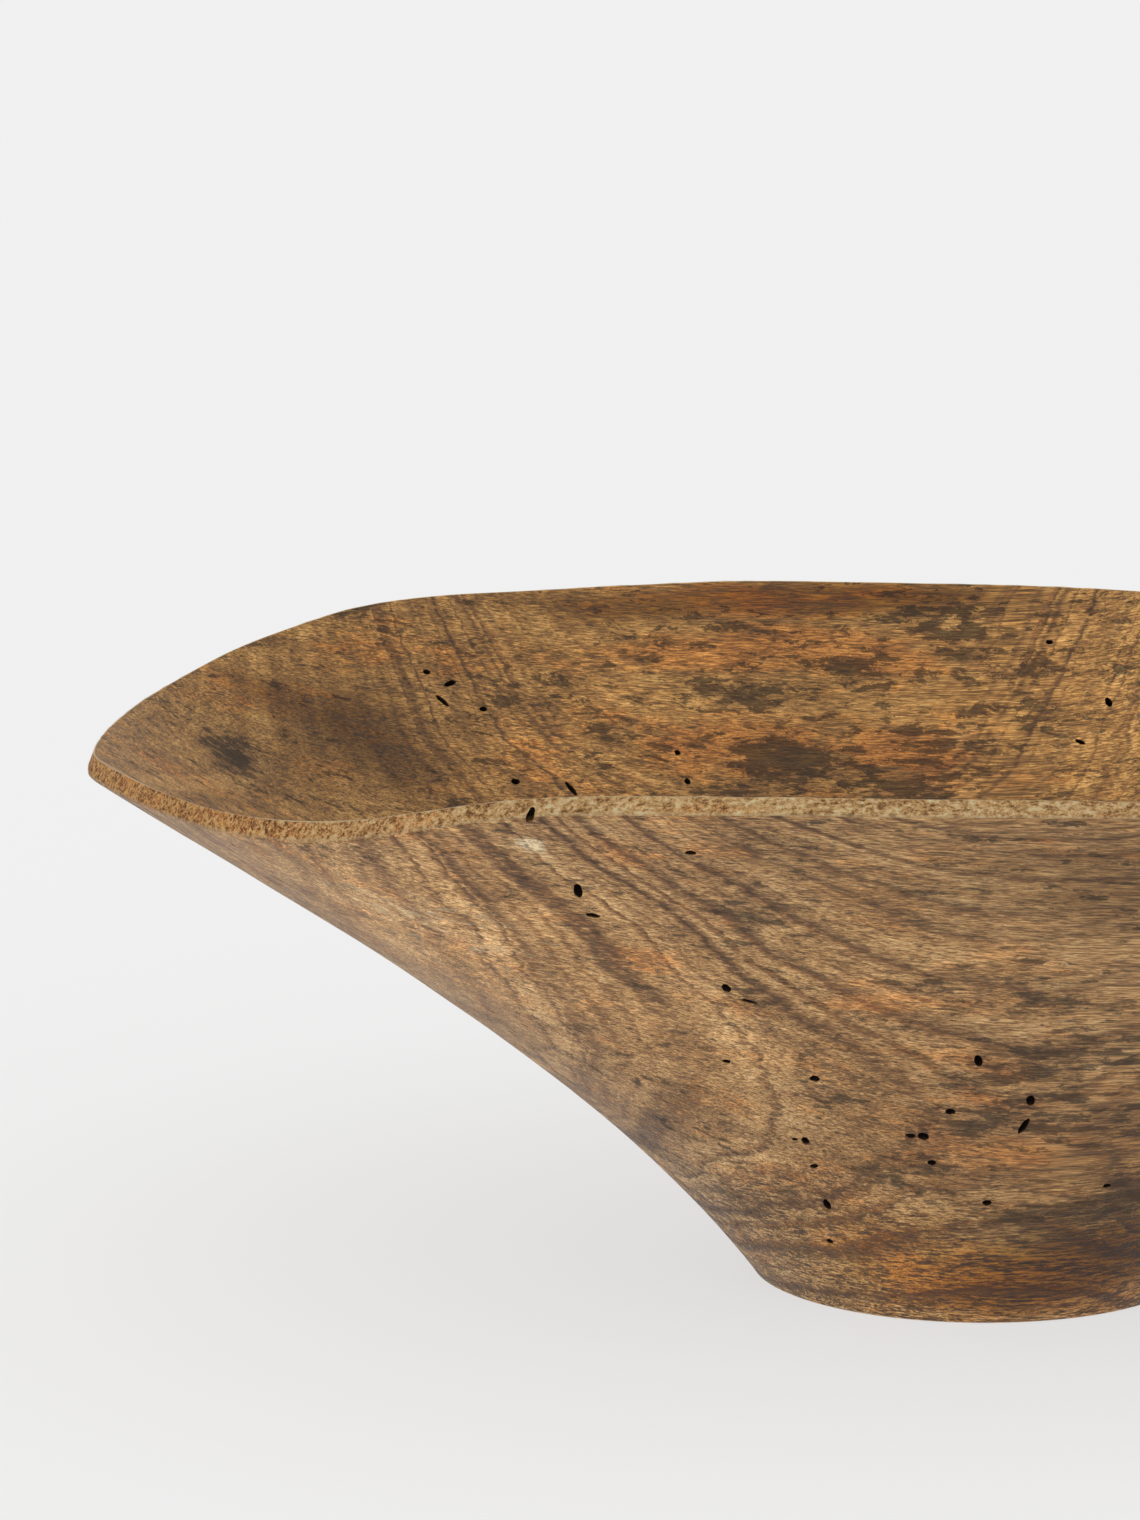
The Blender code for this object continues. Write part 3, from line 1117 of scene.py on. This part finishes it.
def wood_tone(graph, place, radius, bands):
    """Lightness of the plain wood from 0 to 1, and its streaks and fine fibres, which lie around 0."""
    slow_bands = graph.centred(graph.noise_1d(graph.math("MULTIPLY", radius, BANDS_PER_MM), detail=2))
    mottle = graph.centred(graph.pattern(place, MOTTLE))
    streak = graph.centred(graph.pattern(place, STREAKS))
    fibre = graph.centred(graph.pattern(place, FIBRES))
    layers = graph.centred(graph.pattern(place, LAYERS))
    fibre = graph.math("MULTIPLY_ADD", layering(graph, place), layers, fibre)
    tone = graph.math("MULTIPLY_ADD", bands, -RING_DARKNESS, WOOD_TONE)
    for part, contrast in (
        (slow_bands, BAND_CONTRAST),
        (mottle, MOTTLE_CONTRAST),
        (streak, STREAK_CONTRAST),
        (fibre, FIBRE_CONTRAST),
    ):
        tone = graph.math("MULTIPLY_ADD", part, contrast, tone)
    return tone, streak, fibre


def rim_colour(graph, warm, torn, ragged):
    """The lighter wood of the rim's cut face, which turns brown towards the tip of the lip."""
    contrast = graph.math("MULTIPLY_ADD", graph.attribute("tip"), RIM_CONTRAST_MORE_AT_TIP, RIM_CONTRAST)
    patches = graph.math("MULTIPLY_ADD", ragged, RIM_RAGGEDNESS, RIM_TONE)
    colour = graph.colours(graph.math("MULTIPLY_ADD", torn, contrast, patches), RIM_TONES)
    colour = graph.stained(colour, warm, RIM_ORANGE_STAIN, ORANGE_TINT)
    return graph.mix(graph.attribute("tip"), colour, TIP_TINT, "MULTIPLY")


def spalt_amount(graph, place, uneven, ragged):
    """The grey stain of decay, from 0 to 1, with ragged edges."""
    cloud = graph.math("ADD", graph.pattern(place, SPALT_CLOUDS), graph.attribute("spalt"))
    cloud = graph.math("MULTIPLY_ADD", uneven, UNEVEN_SPALT, cloud)
    inside = graph.attribute("inside")
    raggedness = graph.math("MULTIPLY_ADD", inside, RAGGED_SPALT_MORE_INSIDE, RAGGED_SPALT_OUTSIDE)
    return graph.ramp(graph.math("MULTIPLY_ADD", ragged, raggedness, cloud), *SPALT_SHOWS)


def pale_amount(graph, uneven, ragged):
    """How pale scuffs have left the wood, and on the outside of the lip partly a painted reflection of the
    floor.
    """
    broken_up = graph.math("ADD", uneven, ragged)
    pale = graph.math("MULTIPLY_ADD", broken_up, UNEVEN_PALE, graph.attribute("pale"))
    begins, full, strength = PALE_STAIN
    return graph.math("MULTIPLY", graph.ramp(pale, begins, full), strength)


def dark_fibres(graph, place, pores, pore_lines):
    """The dark pores and hairlines along the fibres, and the rows of pores along the rings."""
    hairs = graph.ramp(graph.pattern(place, HAIRS), *HAIRS_SHOW)
    pores = graph.math("MULTIPLY", pores, PORE_STRENGTH)
    hairs = graph.math("MULTIPLY", hairs, HAIR_STRENGTH)
    return graph.math("MAXIMUM", graph.math("MAXIMUM", pores, hairs), pore_lines)


def relief(graph, streak, fibre, lines, torn):
    """The shading normal of the fine relief, for which lines are sunk pores and dark rings."""
    height = graph.math("MULTIPLY_ADD", streak, STREAK_RELIEF, graph.math("MULTIPLY", fibre, FIBRE_RELIEF))
    height = graph.math("MULTIPLY_ADD", lines, LINE_RELIEF, height)
    torn_rim = graph.math("MULTIPLY", graph.attribute("rim"), torn)
    height = graph.math("MULTIPLY_ADD", torn_rim, RIM_RELIEF, height)
    bump = graph.nodes.new("ShaderNodeBump")
    bump.inputs["Distance"].default_value = RELIEF_UNIT
    bump.inputs["Strength"].default_value = 1.0
    graph.put(bump.inputs["Height"], height)
    return bump.outputs[0]


def wood_roughness(graph, uneven, spalt):
    roughness = graph.math("MULTIPLY_ADD", uneven, UNEVEN_ROUGHNESS, ROUGHNESS)
    inside_or_spalted = graph.math("ADD", graph.attribute("inside"), spalt)
    roughness = graph.math("MULTIPLY_ADD", inside_or_spalted, ROUGHER_INSIDE_OR_SPALTED, roughness)
    return graph.math("MULTIPLY_ADD", graph.attribute("rim"), ROUGHER_RIM, roughness)


def old_wood():
    graph = Graph("old_wood")
    place = graph.place_mm()
    radius = ring_radius(graph, place)
    bands, lines, pore_lines = ring_marks(graph, place, radius)
    tone, streak, fibre = wood_tone(graph, place, radius, bands)
    uneven = graph.math("MULTIPLY_ADD", fibre, FIBRES_IN_UNEVENNESS, streak)
    ragged = graph.centred(graph.pattern(place, RAGGEDNESS))
    torn = graph.centred(graph.pattern(place, TORN_FIBRES))
    pores = graph.ramp(graph.pattern(place, PORES), *PORES_SHOW)

    outer = graph.colours(tone, OUTER_TONES)
    inner = graph.colours(tone, INNER_TONES)
    colour = graph.mix(graph.attribute("inside"), outer, inner)
    colour = graph.mix(graph.math("MULTIPLY", bands, RING_COLOUR_SHARE), colour, RING_ORANGE)

    warm = graph.math("ADD", graph.pattern(place, WARM_PATCHES), graph.attribute("orange"))
    warm = graph.math("MULTIPLY_ADD", uneven, UNEVEN_ORANGE, warm)
    colour = graph.stained(colour, warm, ORANGE_STAIN, ORANGE_TINT)
    brown = graph.math("MULTIPLY_ADD", uneven, UNEVEN_BROWN, graph.attribute("brown"))
    colour = graph.stained(colour, brown, BROWN_STAIN, BROWN_TINT)
    spalt = spalt_amount(graph, place, uneven, ragged)
    colour = graph.mix(spalt, colour, SPALT_TINT, "MULTIPLY")

    colour = graph.mix(pale_amount(graph, uneven, ragged), colour, PALE)
    colour = graph.mix(graph.math("MULTIPLY", lines, DARK_RING_STRENGTH), colour, RING_BROWN)
    colour = graph.mix(dark_fibres(graph, place, pores, pore_lines), colour, PORE)
    # Lightness factors: partly the wood's own tone, partly painted light and shade.
    colour = graph.scaled(colour, graph.attribute("tone_and_painted_light"))
    colour = graph.mix(graph.attribute("rim"), colour, rim_colour(graph, warm, torn, ragged))
    # Painted highlight along the rim's inner edge, and a pale line along its outer edge.
    colour = graph.mix(graph.attribute("edge"), colour, PALE)
    # Painted shade, near black, growing with depth down the beetle holes.
    colour = graph.mix(graph.attribute("hole_shade"), colour, HOLE_SHADE)

    shader = graph.shader
    graph.put(shader.inputs["Base Color"], colour)
    graph.put(shader.inputs["Roughness"], wood_roughness(graph, uneven, spalt))
    sunk_lines = graph.math("ADD", pores, lines)
    graph.put(shader.inputs["Normal"], relief(graph, streak, fibre, sunk_lines, torn))
    shader.inputs["Specular IOR Level"].default_value = GLOSS
    return graph.material


def floor_material():
    graph = Graph("pale_floor")
    graph.shader.inputs["Base Color"].default_value = (FLOOR_WHITE, FLOOR_WHITE, FLOOR_WHITE, 1)
    graph.shader.inputs["Emission Color"].default_value = (1, 1, 1, 1)
    graph.shader.inputs["Emission Strength"].default_value = FLOOR_GLOW
    graph.shader.inputs["Roughness"].default_value = FLOOR_ROUGHNESS
    graph.shader.inputs["Specular IOR Level"].default_value = 0.0
    return graph.material


# ---------------------------------------------------------------- scene


def scoop_piece():
    grid, parts = scoop_grid()
    scoop = bpy.data.objects.new("carved_scoop", grid_mesh(grid))
    bpy.context.scene.collection.objects.link(scoop)
    cut_holes(scoop, hole_cutters(grid, parts))
    mark_surface(scoop, grid, parts)
    scoop.data.materials.clear()
    scoop.data.materials.append(old_wood())
    scoop.data.shade_smooth()
    scoop.data.set_sharp_from_angle(angle=SHARP_EDGE)
    return scoop


def camera():
    data = bpy.data.cameras.new("camera")
    data.lens = LENS_MM
    data.sensor_fit = "VERTICAL"
    data.sensor_height = SENSOR_MM
    view = bpy.data.objects.new("camera", data)
    view.location = CAMERA_PLACE
    view.rotation_euler = (CAMERA_TILT, 0, CAMERA_TURN)
    bpy.context.scene.collection.objects.link(view)
    bpy.context.scene.camera = view


def floor_plane():
    corners = [(-FLOOR_HALF, -FLOOR_HALF, 0), (FLOOR_HALF, -FLOOR_HALF, 0)]
    corners += [(FLOOR_HALF, FLOOR_HALF, 0), (-FLOOR_HALF, FLOOR_HALF, 0)]
    mesh = bpy.data.meshes.new("floor")
    mesh.from_pydata(corners, [], [(0, 1, 2, 3)])
    mesh.materials.append(floor_material())
    floor = bpy.data.objects.new("floor", mesh)
    bpy.context.scene.collection.objects.link(floor)


def studio():
    """A pale floor without a visible end, an even sky of the same tone, and one broad soft light."""
    floor_plane()
    world = bpy.data.worlds.new("studio")
    world.use_nodes = True
    background = world.node_tree.nodes["Background"]
    background.inputs["Color"].default_value = (1, 1, 1, 1)
    background.inputs["Strength"].default_value = STUDIO_WHITE
    bpy.context.scene.world = world
    sun = bpy.data.lights.new("soft_light", "SUN")
    sun.energy = SOFT_LIGHT_STRENGTH
    sun.angle = SOFT_LIGHT_SPREAD
    lamp = bpy.data.objects.new("soft_light", sun)
    lamp.rotation_euler = (SOFT_LIGHT_TILT, 0, SOFT_LIGHT_TURN)
    bpy.context.scene.collection.objects.link(lamp)
    bpy.context.scene.view_settings.view_transform = "Standard"


camera()
scoop = scoop_piece()
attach(scoop, "root")
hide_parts("scoop_bowl")
studio()
